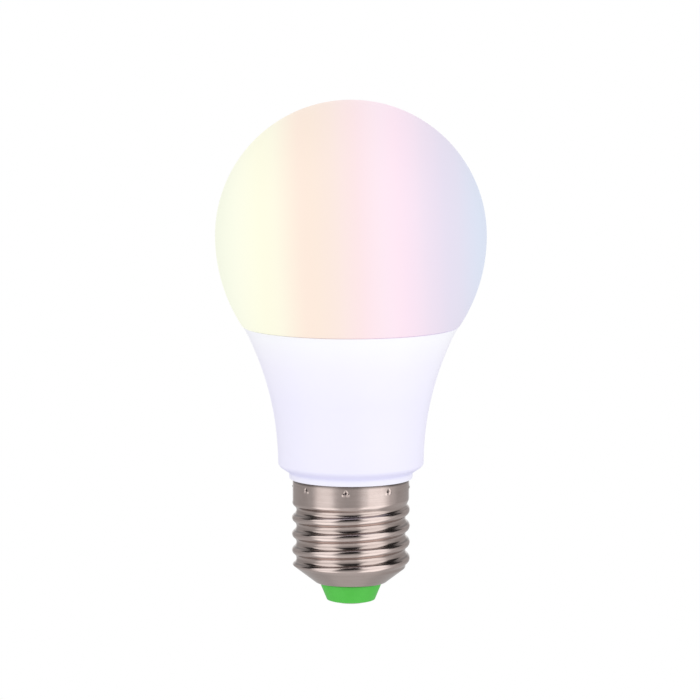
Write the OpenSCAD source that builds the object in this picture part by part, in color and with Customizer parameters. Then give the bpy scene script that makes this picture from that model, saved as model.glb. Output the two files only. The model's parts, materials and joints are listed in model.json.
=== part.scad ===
// Smart light bulb: an opal globe on a flared plastic housing with an E27 screw cap, and the
// parts inside that make it work. The origin is the middle of the centre contact's face, which
// the lamp holder's spring touches, and +Z runs up the bulb's axis to the top of the globe.

/* [Globe] */
// Largest diameter of the globe
globe_d = 60; // [52:0.5:75]
// Height from the contact's face to the top of the globe
overall_h = 112; // [102:0.5:136]
// Diameter of the globe's rim at the seam
seam_d = 48.4; // [46:0.2:58]
// Height of the seam above the contact's face
seam_z = 62.1; // [57:0.1:66]
// Wall of the globe
globe_wall = 1.2; // [0.8:0.1:2]
// How far the globe's spigot reaches down into the housing
spigot_h = 2.2; // [1.6:0.1:3]

/* [Housing] */
// Diameter of the housing where its flare begins
neck_d = 32.3; // [31:0.1:39]
// Height where the flare begins
neck_z = 31.2; // [30.6:0.1:34]
// Wall of the housing
housing_wall = 1.4; // [1:0.1:2]
// How far the globe's rim stands out over the housing's edge
rim_overhang = 0.2; // [0:0.05:0.5]
// Diameter of the collar above the screw shell
collar_d = 27.4; // [26.6:0.1:29]
// Height of the collar above the screw shell
collar_h = 1.6; // [1.2:0.1:2.4]
// Wall of the tube that the screw shell is crimped on
tube_wall = 1.3; // [1:0.1:1.6]
// Height of the tube's lower end
tube_z = 10; // [9.6:0.1:12]

/* [Screw cap] */
// Diameter over the thread's crests
thread_d = 26.2; // [26.05:0.05:26.45]
// Diameter at the thread's roots
root_d = 24.26; // [24.26:0.05:24.66]
// Pitch of the thread
pitch = 3.629; // [3.629:0.001:3.63]
// Diameter of the plain skirt above the thread
skirt_d = 25.9; // [25.7:0.05:26.1]
// Sheet thickness of the shell
shell_wall = 0.3; // [0.25:0.05:0.35]
// Height of the shell's upper edge
shell_top_z = 27.9; // [26.8:0.1:28.6]
// Height where the thread fades into the skirt
thread_top_z = 23.4; // [22.8:0.1:24]
// Number of crimps that hold the shell on the tube
crimp_count = 8; // [4:1:12]
// Diameter of the hole in the shell's lower end
shell_hole_d = 14.2; // [13:0.1:15]
// Height of the shell's lower edge
shell_bottom_z = 4.6; // [4:0.1:5]
// Diameter of the centre contact
contact_d = 6.8; // [6:0.1:8.2]
// Width of the insulator's domed lower face around the contact
insulator_rim = 1.95; // [1:0.05:2.4]
// How far that face rises from the contact to its edge
insulator_dome = 0.4; // [0:0.1:1]
// How far the contact stands below the insulator
contact_h = 0.3; // [0.2:0.1:1.2]

/* [Light board] */
// Thickness of the light board
board_t = 1.2; // [1:0.1:1.6]
// Thickness of the thermal pad under it
pad_t = 0.3; // [0.2:0.1:0.6]
// Thickness of the heat spreader's top plate
plate_t = 1; // [0.8:0.1:1.5]
// Thickness of the heat spreader's side wall
spreader_wall = 0.9; // [0.6:0.1:1.2]
// Height of the heat spreader's lower edge
spreader_z = 37; // [36:0.5:44]
// Number of white light sources
white_count = 12; // [6:3:12]
// Number of colour light sources
colour_count = 6; // [4:1:6]

/* [Driver] */
// Thickness of the driver board
driver_t = 1; // [0.8:0.1:1.2]
// Diameter of the main capacitor
bulk_cap_d = 10; // [8:0.5:12]
// Length of the main capacitor
bulk_cap_h = 13; // [10:0.5:15.5]
// Width of the transformer's core
core_w = 13; // [11:0.2:15.6]

/* [Radio module] */
// Width of the radio module's board
module_w = 15; // [13:0.5:18]
// How far the antenna stands above the light board
antenna_h = 6.7; // [6:0.1:9]

/* [Hidden] */
$fn = 96;

// Clearances between pieces
fit_gap = 0.05;       // a pressed or riveted fit
slip_gap = 0.1;       // a piece that slides into place
board_gap = 0.35;     // round the edge of a board
cut = 1;              // how far a cut runs past the piece it cuts

// Globe
globe_r = globe_d / 2;
seam_r = seam_d / 2;
globe_z = overall_h - globe_r;
rim_in = globe_r - seam_r;
lower_r = (rim_in * rim_in + pow(globe_z - seam_z, 2)) / (2 * rim_in);
spigot_z = seam_z - spigot_h;
rim_t = 1.2;

// Housing
neck_r = neck_d / 2;
housing_top_r = seam_r - rim_overhang;
flare_run = housing_top_r - neck_r;
flare_r = (flare_run * flare_run + pow(seam_z - neck_z, 2)) / (2 * flare_run);
collar_r = collar_d / 2;
collar_z = shell_top_z + collar_h;
seam_line = 0.15;     // fine gap that shows between the globe and the housing
edge_r = 0.4;         // rounding of moulded edges

// Screw shell
crest_r = thread_d / 2;
root_r = root_d / 2;
skirt_r = skirt_d / 2;
thread_depth = crest_r - root_r;
knuckle_r = (pow(pitch / 4, 2) + pow(thread_depth / 2, 2)) / thread_depth;
crest_z = 17.27;      // height of a crest on the +X side
fade_h = 1.4;         // height over which the thread fades into the skirt
shell_hole_r = shell_hole_d / 2;
shell_lip = 0.7;      // width of the edge turned in round the insulator
cone_top_z = 8.66;    // where the lower cone reaches the crests
cone_r = shell_hole_r + shell_lip;
cone_slope = (crest_r - cone_r) / (cone_top_z - shell_bottom_z);
plain_h = shell_top_z - thread_top_z;
thread_sides = 48;
thread_rows = 34;
lap = 0.65;           // how far the threaded wall laps into the plain skirt
crimp_z = shell_top_z - 1.4;
crimp_r = 0.85;
crimp_depth = 1;
crimp_turn = 265;     // direction of the first crimp

// Tube inside the shell
tube_r = root_r - shell_wall - 0.2;
bore_r = tube_r - tube_wall;
seat_r = skirt_r - shell_wall - fit_gap;

// Stack under the globe, from the spreader's plate up
plate_z = spigot_z - pad_t;
plate_low = plate_z - plate_t;
board_z = plate_z + pad_t;
face_z = board_z + board_t;
spigot_r = flare_in_r(spigot_z, housing_wall) - slip_gap;
spigot_wall = 1.2;
board_r = spigot_r - spigot_wall - board_gap;

// Light sources
screw_count = 3;
ring_places = white_count + screw_count;
ring_turn = 30;       // direction of the first screw
led_ring_r = board_r - 2.9;
led_size = [2.8, 3.5, 0.7];
led_cup_r = 1.1;
led_cup_depth = 0.3;
colour_size = [5, 5, 1.5];
colour_cup_r = 2;
colour_cup_depth = 0.6;
colour_ring_r = 10.7;
colour_front_r = 11.2;
// Direction and radius of each colour light source
COLOUR_PLACES = [
    [90, colour_ring_r], [38, colour_ring_r], [142, colour_ring_r], [-14, colour_ring_r],
    [194, colour_ring_r], [270, colour_front_r]
];
chip_size = [1.2, 1.9, 0.5];
chip_y = 2.9;
screw_r = 1.2;
screw_head_r = 2.1;
screw_head_h = 1.3;
screw_tail = 1;       // how far a screw stands out under the spreader's plate
screw_ring_r = board_r - 3.4;

// Driver board: its faces look along -Y (front) and +Y (back)
driver_front = -4;
driver_back = driver_front + driver_t;
driver_top = 55;
driver_shoulder = 34.5;
driver_bottom = 11;
tail_half = sqrt(bore_r * bore_r - driver_front * driver_front) - board_gap;
spreader_in = housing_wall + slip_gap + spreader_wall;
driver_gap = 1.3;     // from the driver board's upper edges to the heat spreader
driver_half = sqrt(pow(flare_in_r(spreader_z, spreader_in), 2) - pow(driver_front, 2)) - driver_gap;
lead_r = 0.3;
lead_gap = 0.05;
lead_tail = 1;
rib_h = 11.5;
rib_z = 15.5;
rib_in = 1;

// Radio module: parallel to the driver board, in front of it
module_gap = 2.7;
module_t = 0.8;
module_back = driver_front - module_gap;
module_front = module_back - module_t;
module_bottom = 44;
module_top = face_z + antenna_h;
module_slot = 0.5;

// Pins from the driver board up to the light board's socket
pin_w = 0.6;
pin_pitch = 2.5;
pin_count = 5;
pin_y = driver_back + 1.1;
pin_foot_z = driver_top - 3.4;
pin_rise = 2.4;       // how far the pins stand above the light board
header_h = 2.5;
header_z = pin_foot_z + 0.8;
socket_h = 3.5;
socket_d = 4.4;
pin_span = (pin_count - 1) * pin_pitch;

// Transformer core
core_h = 10.6;
core_d = 6;
core_leg = 2.8;
core_side = 1.6;
core_lift = 1;
core_right = 10.5;
core_y0 = driver_back + core_lift;
window_w = (core_w - core_leg - 2 * core_side) / 2;
core_pin_x = core_w / 2 - 1.9;
core_pin_z = core_d / 2 + 1;

// Sizes of the driver's other components
part_gap = 0.8;
out_cap_d = 6.3;
out_cap_h = 10;
choke_d = 7;
choke_h = 8.5;
choke_base = 1.4;
choke_cap = 1.2;
choke_leg_r = 1.4;
varistor_r = 3.5;
varistor_t = 3;
varistor_lead_x = 2.5;
fuse_r = 1.6;
fuse_y = -6.9;
fuse_z = 14;
fuse_h = 9;

// Half the distance between each component's two leads, and where those leads cross the board
bulk_lead_x = 2.5;
out_lead_x = 1.25;
choke_lead_x = 2;
bulk_lead_rise = 2.4;
varistor_lead_drop = 0.8;
fuse_lead_rise = 1.2;

// Places of the driver's components: [x, z] on its board
CORE = [core_right - core_w / 2, 45];
BULK_CAP = [0, 14];
OUT_CAP = [CORE[0] - core_w / 2 - part_gap - out_cap_d / 2, 47.6];
CHOKE = [CORE[0] - core_leg / 2 - window_w - part_gap - choke_d / 2, 38.6];
bulk_top = BULK_CAP[1] + bulk_cap_h;
// A chip near the board's edge keeps its distance from the output capacitor's outer lead
outer_chip_gap = 2.928;
outer_chip_x = -10.6;
outer_chip_run = outer_chip_x - (OUT_CAP[0] - out_lead_x);
OUTER_CHIP = [
    outer_chip_x,
    OUT_CAP[1] + sqrt(max(0, outer_chip_gap * outer_chip_gap - outer_chip_run * outer_chip_run))
];
VARISTOR = [0, bulk_top + bulk_lead_rise];

// [x, z] of the leads that cross the driver board from its back, and from its front
BACK_LEADS = concat(
    [for (s = [-1, 1]) [BULK_CAP[0] + s * bulk_lead_x, bulk_top + bulk_lead_rise]],
    [for (s = [-1, 1]) [OUT_CAP[0] + s * out_lead_x, OUT_CAP[1]]],
    [for (s = [-1, 1]) [CHOKE[0] + s * choke_lead_x, CHOKE[1]]],
    [for (sx = [-1, 1], sz = [-1, 1]) CORE + [sx * core_pin_x, sz * core_pin_z]]
);
FRONT_LEADS = concat(
    [for (s = [-1, 1]) VARISTOR + [s * varistor_lead_x, -varistor_r - varistor_lead_drop]],
    [[0, fuse_z + fuse_h + fuse_lead_rise]]
);

// Insulator and contact
insulator_tip_r = contact_d / 2 + insulator_rim;
insulator_floor_z = 4;
insulator_well_r = 5;
shank_r = 1.2;
shank_hole_r = 0.5;
shank_hole_z = 2;
shank_top_z = insulator_floor_z + 1;
contact_edge = 1;     // width of the rounded edge round the contact's flat middle

// Wires
wire_r = 0.6;
wire_core_r = 0.35;
neutral_leg_r = 9;
neutral_turn = asin((driver_back + wire_core_r + 0.02) / neutral_leg_r);
neutral_out_r = tube_r - wire_r + fit_gap;
neutral_press_r = root_r - shell_wall - wire_core_r - fit_gap;
neutral_slot_h = 7;
live_top_z = 12;
live_bottom_z = 6.2;

// ---- Shared shapes ----

function flare_in_r(z, inset) =
    neck_r + flare_r - sqrt(pow(flare_r + inset, 2) - pow(z - neck_z, 2));

// The flare's half section, from the axis out to the wall less an inset
module flare_section(inset, low, high) {
    difference() {
        translate([0, low]) square([housing_top_r + cut, high - low]);
        translate([neck_r + flare_r, neck_z]) circle(r = flare_r + inset, $fn = 240);
    }
}

// The globe's half section, from the axis out to the skin less an inset
module globe_section(inset, low) {
    intersection() {
        translate([0, globe_z]) circle(r = globe_r - inset, $fn = 180);
        translate([0, globe_z]) square(globe_r);
    }
    intersection() {
        translate([globe_r - lower_r, globe_z]) circle(r = lower_r - inset, $fn = 240);
        translate([0, low]) square([globe_r, globe_z - low]);
    }
}

module tube(outer, inner, h) {
    difference() {
        cylinder(r = outer, h = h);
        translate([0, 0, -cut]) cylinder(r = inner, h = h + 2 * cut);
    }
}

// A box given by its middle in X, its limits in Y, and its lowest Z
module block(x, y0, y1, z, w, h) {
    translate([x - w / 2, y0, z]) cube([w, y1 - y0, h]);
}

// A straight round lead along Y
module pin_along_y(x, z, y0, y1, r) {
    translate([x, y0, z]) rotate([-90, 0, 0]) cylinder(r = r, h = y1 - y0, $fn = 24);
}

function unit(v) = v / norm(v);
function heading(path, i) =
    unit(path[min(i + 1, len(path) - 1)] - path[max(i - 1, 0)]);

// A round wire along a path; side is a direction that the path never runs along
module swept_wire(path, r, side, sides = 8) {
    rings = [
        for (i = [0 : len(path) - 1])
            let (along = heading(path, i), u = unit(cross(along, side)), v = cross(along, u))
            for (k = [0 : sides - 1])
                path[i] + r * (cos(360 * k / sides) * u + sin(360 * k / sides) * v)
    ];
    last = (len(path) - 1) * sides;
    walls = [
        for (i = [0 : len(path) - 2], k = [0 : sides - 1])
            let (a = i * sides + k, b = i * sides + (k + 1) % sides)
            [a, a + sides, b + sides, b]
    ];
    ends = [
        [for (k = [0 : sides - 1]) k],
        [for (k = [sides - 1 : -1 : 0]) last + k]
    ];
    polyhedron(points = rings, faces = concat(walls, ends));
}

// Points round a quarter or half turn in the plane of u and v
function bend(centre, r, u, v, from, to, steps = 4) =
    [for (i = [0 : steps])
        let (a = from + (to - from) * i / steps)
        centre + r * (cos(a) * u + sin(a) * v)];

// ---- Globe ----

module globe() {
    color("mistyrose")
    rotate_extrude()
    difference() {
        union() {
            globe_section(0, seam_z);
            translate([0, spigot_z]) square([spigot_r, spigot_h + fit_gap]);
        }
        globe_section(globe_wall, seam_z + rim_t);
        translate([0, spigot_z - cut]) square([spigot_r - spigot_wall, globe_z - spigot_z + cut]);
    }
}

// Wedge of silicone that fills the gap between the spigot and the housing
module globe_sealant() {
    color("whitesmoke")
    rotate_extrude()
    difference() {
        flare_section(housing_wall + fit_gap / 2, spigot_z + 0.4, seam_z - 0.4);
        translate([0, spigot_z]) square([spigot_r + fit_gap / 2, spigot_h]);
    }
}

// ---- Housing ----

module housing_outline() {
    flare_section(0, neck_z, seam_z - seam_line);
    polygon([
        [0, tube_z], [tube_r, tube_z], [tube_r, thread_top_z], [seat_r, thread_top_z + 1],
        [seat_r, shell_top_z + fit_gap], [collar_r - edge_r, shell_top_z + fit_gap],
        [collar_r, shell_top_z + fit_gap + edge_r], [collar_r, collar_z - 0.3],
        [collar_r + 0.3, collar_z], [neck_r - 0.5, neck_z - 0.6], [neck_r, neck_z],
        [0, neck_z]
    ]);
}

module housing_hollow() {
    flare_section(housing_wall, neck_z, seam_z + cut);
    polygon([
        [0, tube_z - cut], [bore_r, tube_z - cut], [bore_r, collar_z - 0.4],
        [neck_r - housing_wall - 0.6, neck_z], [0, neck_z]
    ]);
}

// Two pairs of ribs that guide the driver board's edges
module guide_ribs() {
    intersection() {
        translate([0, 0, rib_z]) cylinder(r = bore_r + tube_wall / 2, h = rib_h);
        for (side = [-1, 1], y = [driver_front - slip_gap - rib_in, driver_back + slip_gap])
            block(side * (tail_half + 1), y, y + rib_in, rib_z, 4, rib_h);
    }
}

module crimp_cones(grow) {
    for (i = [0 : crimp_count - 1])
        rotate([0, 0, crimp_turn + i * 360 / crimp_count])
            translate([skirt_r + 0.1, 0, crimp_z])
                rotate([0, -90, 0])
                    cylinder(r1 = crimp_r + grow, r2 = 0.25 + grow, h = crimp_depth + grow, $fn = 32);
}

module housing() {
    color("lavender")
    difference() {
        union() {
            rotate_extrude() difference() {
                housing_outline();
                housing_hollow();
            }
            guide_ribs();
        }
        crimp_cones(shell_wall + slip_gap);
        // Slot that lets the neutral lead lie between the tube and the shell
        rotate([0, 0, neutral_turn])
            block(tube_r, -wire_r - slip_gap, wire_r + slip_gap, tube_z - cut, 3, neutral_slot_h + cut);
    }
}

// ---- Heat spreader and light board ----

module screw_spots() {
    for (k = [0 : screw_count - 1])
        rotate([0, 0, ring_turn + k * 360 / screw_count]) translate([screw_ring_r, 0, 0]) children();
}

module led_spots() {
    for (k = [0 : ring_places - 1])
        if (k % (ring_places / screw_count) != 0)
            rotate([0, 0, ring_turn + k * 360 / ring_places]) translate([led_ring_r, 0, 0]) children();
}

module colour_spots() {
    for (k = [0 : colour_count - 1])
        translate(COLOUR_PLACES[k][1] * [cos(COLOUR_PLACES[k][0]), sin(COLOUR_PLACES[k][0]), 0]) children();
}

// The openings that the radio module and the pins pass through
module board_slots(low, high) {
    block(0, module_front - module_slot, module_back + module_slot, low, module_w + 1, high - low);
    block(0, pin_y - 1, pin_y + 1, low, pin_span + 2.4, high - low);
}

module disc_with_slots(r, low, high, hole_r) {
    difference() {
        translate([0, 0, low]) cylinder(r = r, h = high - low);
        board_slots(low - cut, high + cut);
        screw_spots() translate([0, 0, low - cut]) cylinder(r = hole_r, h = high - low + 2 * cut);
    }
}

module heat_spreader() {
    color("silver")
    difference() {
        rotate_extrude() difference() {
            flare_section(housing_wall + slip_gap, spreader_z, plate_z);
            flare_section(spreader_in, spreader_z - cut, plate_low);
        }
        board_slots(plate_low - cut, plate_z + cut);
        screw_spots()
            translate([0, 0, plate_low - cut]) cylinder(r = screw_r + fit_gap, h = plate_t + 2 * cut);
    }
}

module thermal_pad() {
    color("gainsboro") disc_with_slots(board_r - 0.4, plate_z, board_z, screw_r + 0.5);
}

module light_board() {
    color("white") disc_with_slots(board_r, board_z, face_z, screw_r + 0.25);
}

module light_board_screws() {
    color("silver")
    screw_spots()
        difference() {
            union() {
                translate([0, 0, face_z]) cylinder(r = screw_head_r, h = screw_head_h);
                translate([0, 0, plate_low - screw_tail])
                    cylinder(r = screw_r, h = face_z - plate_low + screw_tail + slip_gap);
            }
            for (turn = [0, 90])
                rotate([0, 0, turn])
                    translate([-1.2, -0.25, face_z + screw_head_h - 0.7]) cube([2.4, 0.5, cut]);
        }
}

module light_package(size, cup_r, cup_depth) {
    difference() {
        translate([-size[0] / 2, -size[1] / 2, face_z]) cube(size);
        translate([0, 0, face_z + size[2] - cup_depth]) cylinder(r = cup_r, h = cut, $fn = 48);
    }
}

module white_led_packages() {
    color("white") led_spots() light_package(led_size, led_cup_r, led_cup_depth);
}

module white_led_phosphors() {
    color("gold")
    led_spots()
        translate([0, 0, face_z + led_size[2] - led_cup_depth])
            cylinder(r = led_cup_r, h = led_cup_depth - fit_gap, $fn = 48);
}

module colour_led_packages() {
    color("white") colour_spots() light_package(colour_size, colour_cup_r, colour_cup_depth);
}

module colour_led_windows() {
    color("lightcyan")
    colour_spots()
        translate([0, 0, face_z + colour_size[2] - colour_cup_depth])
            cylinder(r = colour_cup_r, h = colour_cup_depth - fit_gap, $fn = 48);
}

module light_board_resistors() {
    color("dimgray")
    for (x = [-6, -3.6, 3.6, 6])
        translate([x - chip_size[0] / 2, chip_y - chip_size[1] / 2, face_z]) cube(chip_size);
}

module light_board_socket() {
    color("ivory")
    difference() {
        block(0, pin_y - socket_d / 2, pin_y + socket_d / 2, face_z, pin_span + 3.8, socket_h);
        for (k = [0 : pin_count - 1])
            block(
                -pin_span / 2 + k * pin_pitch, pin_y - pin_w / 2 - slip_gap,
                pin_y + pin_w / 2 + slip_gap, face_z - cut, pin_w + 2 * slip_gap, socket_h + 2 * cut
            );
    }
}

// ---- Pins between the boards ----

module driver_pins() {
    color("goldenrod")
    for (k = [0 : pin_count - 1]) {
        x = -pin_span / 2 + k * pin_pitch;
        block(x, pin_y - pin_w / 2, pin_y + pin_w / 2, pin_foot_z, pin_w, face_z + pin_rise - pin_foot_z);
        block(x, driver_back, pin_y, pin_foot_z, pin_w, pin_w);
    }
}

module driver_pin_header() {
    color("black")
    difference() {
        block(0, driver_back, pin_y + 1.2, header_z, pin_span + 2, header_h);
        for (k = [0 : pin_count - 1])
            block(
                -pin_span / 2 + k * pin_pitch, pin_y - pin_w / 2 - fit_gap,
                pin_y + pin_w / 2 + fit_gap, header_z - cut, pin_w + 2 * fit_gap, header_h + 2 * cut
            );
    }
}

// ---- Radio module ----

module_header_z = module_bottom + 1.6;
can_z = module_bottom + 3.6;
can_h = plate_low - can_z - 0.7;
can_w = module_w - 2.2;
can_d = 2;
can_wall = 0.2;

module module_board() {
    color("darkslateblue")
    difference() {
        block(0, module_front, module_back, module_bottom, module_w, module_top - module_bottom);
        for (k = [-2.5 : 1 : 2.5])
            pin_along_y(k * 2, module_header_z, module_front - cut, module_back + cut, lead_r + lead_gap);
    }
}

// Folded track of the antenna, on the part of the board that stands in the globe
module module_antenna() {
    track = 0.45;
    thick = 0.06;
    folds = 6;
    span = module_w - 3;
    step = span / folds;
    low = face_z + 1.4;
    high = module_top - 0.7;
    color("goldenrod")
    for (k = [0 : folds - 1]) {
        x = -span / 2 + k * step;
        block(x, module_front - thick, module_front, low, track, high - low);
        link_z = k % 2 == 0 ? high - track : low;
        block(x + step / 2, module_front - thick, module_front, link_z, step + track, track);
        if (k == folds - 1)
            block(x + step, module_front - thick, module_front, low, track, high - low);
    }
}

module module_shield_can() {
    color("silver")
    difference() {
        block(0, module_front - can_d, module_front, can_z, can_w, can_h);
        block(
            0, module_front - can_d + can_wall, module_front + cut, can_z + can_wall,
            can_w - 2 * can_wall, can_h - 2 * can_wall
        );
        // Small round mark hole in one corner of the lid
        pin_along_y(
            -can_w / 2 + 1.6, can_z + can_h - 1.6, module_front - can_d - cut,
            module_front - can_d + cut, 0.5
        );
    }
}

module module_chip() {
    color("dimgray") block(-1.6, module_front - 0.85, module_front, can_z + 1.6, 5, 5);
}

module module_crystal() {
    color("silver") block(3.4, module_front - 0.7, module_front, can_z + 2.4, 2.5, 3.2);
}

module module_pins() {
    color("goldenrod")
    for (k = [-2.5 : 1 : 2.5])
        pin_along_y(k * 2, module_header_z, module_front - 0.7, driver_front, lead_r);
}

module module_pin_spacer() {
    color("black")
    difference() {
        block(0, module_back + slip_gap, driver_front - slip_gap, module_header_z - 1, 12, 2);
        for (k = [-2.5 : 1 : 2.5])
            pin_along_y(k * 2, module_header_z, module_back - cut, driver_front + cut, lead_r + lead_gap);
    }
}

// ---- Driver board ----

module driver_board() {
    half = driver_half;
    color("seagreen")
    difference() {
        translate([0, driver_back, 0])
            rotate([90, 0, 0])
                linear_extrude(height = driver_t)
                    polygon([
                        [-tail_half, driver_bottom], [tail_half, driver_bottom],
                        [tail_half, driver_shoulder], [half, driver_shoulder + 2],
                        [half, driver_top - 1], [half - 1, driver_top], [1 - half, driver_top],
                        [-half, driver_top - 1], [-half, driver_shoulder + 2],
                        [-tail_half, driver_shoulder]
                    ]);
        for (p = concat(BACK_LEADS, FRONT_LEADS))
            pin_along_y(p[0], p[1], driver_front - cut, driver_back + cut, lead_r + lead_gap);
    }
}

// A cone of solder round each lead, on the side where it comes out
module solder_joint(x, z, face, out) {
    difference() {
        translate([x, face, z])
            rotate([out < 0 ? 90 : -90, 0, 0]) cylinder(r1 = 0.85, r2 = 0.4, h = 0.7, $fn = 32);
        pin_along_y(x, z, face - cut, face + cut, lead_r + 0.01);
    }
}

module solder_joints() {
    color("lightgray") {
        for (p = BACK_LEADS) solder_joint(p[0], p[1], driver_front, -1);
        for (p = FRONT_LEADS) solder_joint(p[0], p[1], driver_back, 1);
        // The blob that holds the neutral lead's bare end on the board's back
        difference() {
            translate([neutral_foot[0], driver_back, neutral_foot[2] + 1.6])
                rotate([-90, 0, 0]) cylinder(r1 = 1.1, r2 = 0.8, h = 0.85, $fn = 32);
            translate(neutral_foot) cylinder(r = wire_core_r + 0.01, h = 4, $fn = 24);
        }
    }
}

// Can with a rolled groove near its lower end, standing along +Z from the origin
module capacitor_can(d, h) {
    r = d / 2;
    difference() {
        rotate_extrude()
            polygon([
                [0, 1], [r - 1.2, 1], [r - 1.2, 0], [r - 0.4, 0], [r, 0.4], [r, 1.4], [r - 0.35, 1.8],
                [r, 2.2], [r, h - 0.5], [r - 0.5, h], [0, h]
            ]);
        for (turn = [0, 90])
            rotate([0, 0, turn]) translate([-r * 0.55, -0.12, h - 0.15]) cube([r * 1.1, 0.24, cut]);
    }
}

// The main capacitor hangs upside down in the tube, with its leads at the top
bulk_y = driver_back + lead_tail + slip_gap + bulk_cap_d / 2;

module bulk_cap_place() {
    translate([BULK_CAP[0], bulk_y, bulk_top]) rotate([180, 0, 0]) children();
}

// The output capacitor stands on the board's back
module out_cap_place() {
    translate([OUT_CAP[0], driver_back, OUT_CAP[1]]) rotate([-90, 0, 0]) children();
}

module bulk_capacitor() {
    color("midnightblue") bulk_cap_place() capacitor_can(bulk_cap_d, bulk_cap_h);
}

module bulk_capacitor_bung() {
    color("dimgray") bulk_cap_place() capacitor_bung(bulk_cap_d, bulk_lead_x);
}

module output_capacitor() {
    color("darkgreen") out_cap_place() capacitor_can(out_cap_d, out_cap_h);
}

module output_capacitor_bung() {
    color("dimgray") out_cap_place() capacitor_bung(out_cap_d, out_lead_x);
}

// Rubber bung that closes the can, with a hole for each lead
bung_h = 0.9;

module capacitor_bung(d, half_pitch) {
    difference() {
        translate([0, 0, slip_gap]) cylinder(r = d / 2 - 1.25, h = bung_h - fit_gap);
        for (s = [-1, 1])
            translate([s * half_pitch, 0, -cut]) cylinder(r = lead_r + lead_gap, h = 3 * cut, $fn = 24);
    }
}

module capacitor_leads() {
    turn_r = 1;
    high = bulk_top + bulk_lead_rise;
    color("lightgray")
    for (s = [-1, 1]) {
        x = BULK_CAP[0] + s * bulk_lead_x;
        swept_wire(
            concat(
                [[x, bulk_y, bulk_top - bung_h]],
                bend([x, bulk_y - turn_r, high - turn_r], turn_r, [0, 1, 0], [0, 0, 1], 0, 90),
                [[x, driver_front - lead_tail, high]]
            ),
            lead_r, [1, 0, 0]
        );
        pin_along_y(
            OUT_CAP[0] + s * out_lead_x, OUT_CAP[1], driver_front - lead_tail, driver_back + bung_h,
            lead_r
        );
    }
}

// ---- Transformer: its core's middle leg stands out from the board's back ----

bobbin_wall = 0.5;
bobbin_flange = 0.6;
foot_w = 1.7;
pin_hole = 1.2;
tape_t = 0.2;
winding_t = window_w - bobbin_wall - tape_t - 4 * fit_gap;

// A box round the transformer's middle leg, grown by so much all round
module leg_block(grow, y0, y1) {
    block(CORE[0], y0, y1, CORE[1] - core_d / 2 - grow, core_leg + 2 * grow, core_d + 2 * grow);
}

module transformer_core() {
    color("darkslategray")
    difference() {
        block(CORE[0], core_y0, core_y0 + core_h, CORE[1] - core_d / 2, core_w, core_d);
        for (s = [-1, 1])
            block(
                CORE[0] + s * (core_leg + window_w) / 2, core_y0 + core_side,
                core_y0 + core_h - core_side, CORE[1] - core_d / 2 - cut, window_w, core_d + 2 * cut
            );
    }
}

module transformer_bobbin() {
    low = core_y0 + core_side + fit_gap;
    high = core_y0 + core_h - core_side - fit_gap;
    reach = window_w - 2 * fit_gap;
    color("saddlebrown")
    difference() {
        union() {
            leg_block(bobbin_wall + fit_gap, low, high);
            leg_block(reach, low, low + bobbin_flange);
            leg_block(reach, high - bobbin_flange, high);
            // Feet on both sides of the core that carry the pins
            for (s = [-1, 1], z = [-1, 1])
                block(
                    CORE[0] + s * core_pin_x, driver_back, low + bobbin_flange,
                    CORE[1] + z * core_pin_z - foot_w / 2, foot_w, foot_w
                );
        }
        leg_block(fit_gap, low - cut, high + cut);
        for (s = [-1, 1], z = [-1, 1])
            pin_along_y(
                CORE[0] + s * core_pin_x, CORE[1] + z * core_pin_z, driver_front, driver_back + pin_hole,
                lead_r + lead_gap
            );
    }
}

module transformer_winding() {
    low = core_y0 + core_side + bobbin_flange + 2 * fit_gap;
    high = core_y0 + core_h - core_side - bobbin_flange - 2 * fit_gap;
    color("chocolate")
    difference() {
        leg_block(bobbin_wall + 2 * fit_gap + winding_t, low, high);
        leg_block(bobbin_wall + 2 * fit_gap, low - cut, high + cut);
    }
}

module transformer_tape() {
    low = core_y0 + core_side + bobbin_flange + 2 * fit_gap;
    high = core_y0 + core_h - core_side - bobbin_flange - 2 * fit_gap;
    inner = bobbin_wall + 2 * fit_gap + winding_t;
    color("gold")
    difference() {
        leg_block(inner + tape_t, low + 0.5, high - 0.5);
        leg_block(inner, low - cut, high + cut);
    }
}

module transformer_pins() {
    color("lightgray")
    for (s = [-1, 1], z = [-1, 1])
        pin_along_y(
            CORE[0] + s * core_pin_x, CORE[1] + z * core_pin_z, driver_front - lead_tail,
            driver_back + pin_hole - slip_gap, lead_r
        );
}

// ---- Choke: a drum core standing on the board's back ----

module choke_place() {
    translate([CHOKE[0], driver_back, CHOKE[1]]) rotate([-90, 0, 0]) children();
}

module choke_core() {
    color("darkslategray")
    choke_place()
        rotate_extrude()
            polygon([
                [0, 0.2], [choke_d / 2, 0.2], [choke_d / 2, choke_base], [choke_leg_r, choke_base],
                [choke_leg_r, choke_h - choke_cap], [choke_d / 2, choke_h - choke_cap],
                [choke_d / 2, choke_h], [0, choke_h]
            ]);
}

module choke_winding() {
    color("chocolate")
    choke_place()
        translate([0, 0, choke_base + fit_gap])
            tube(choke_d / 2 - 0.3, choke_leg_r + fit_gap, choke_h - choke_base - choke_cap - 2 * fit_gap);
}

module choke_leads() {
    color("lightgray")
    for (s = [-1, 1])
        pin_along_y(
            CHOKE[0] + s * choke_lead_x, CHOKE[1], driver_front - lead_tail, driver_back + 0.15, lead_r
        );
}

// ---- Surface parts on the driver board's front ----

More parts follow.
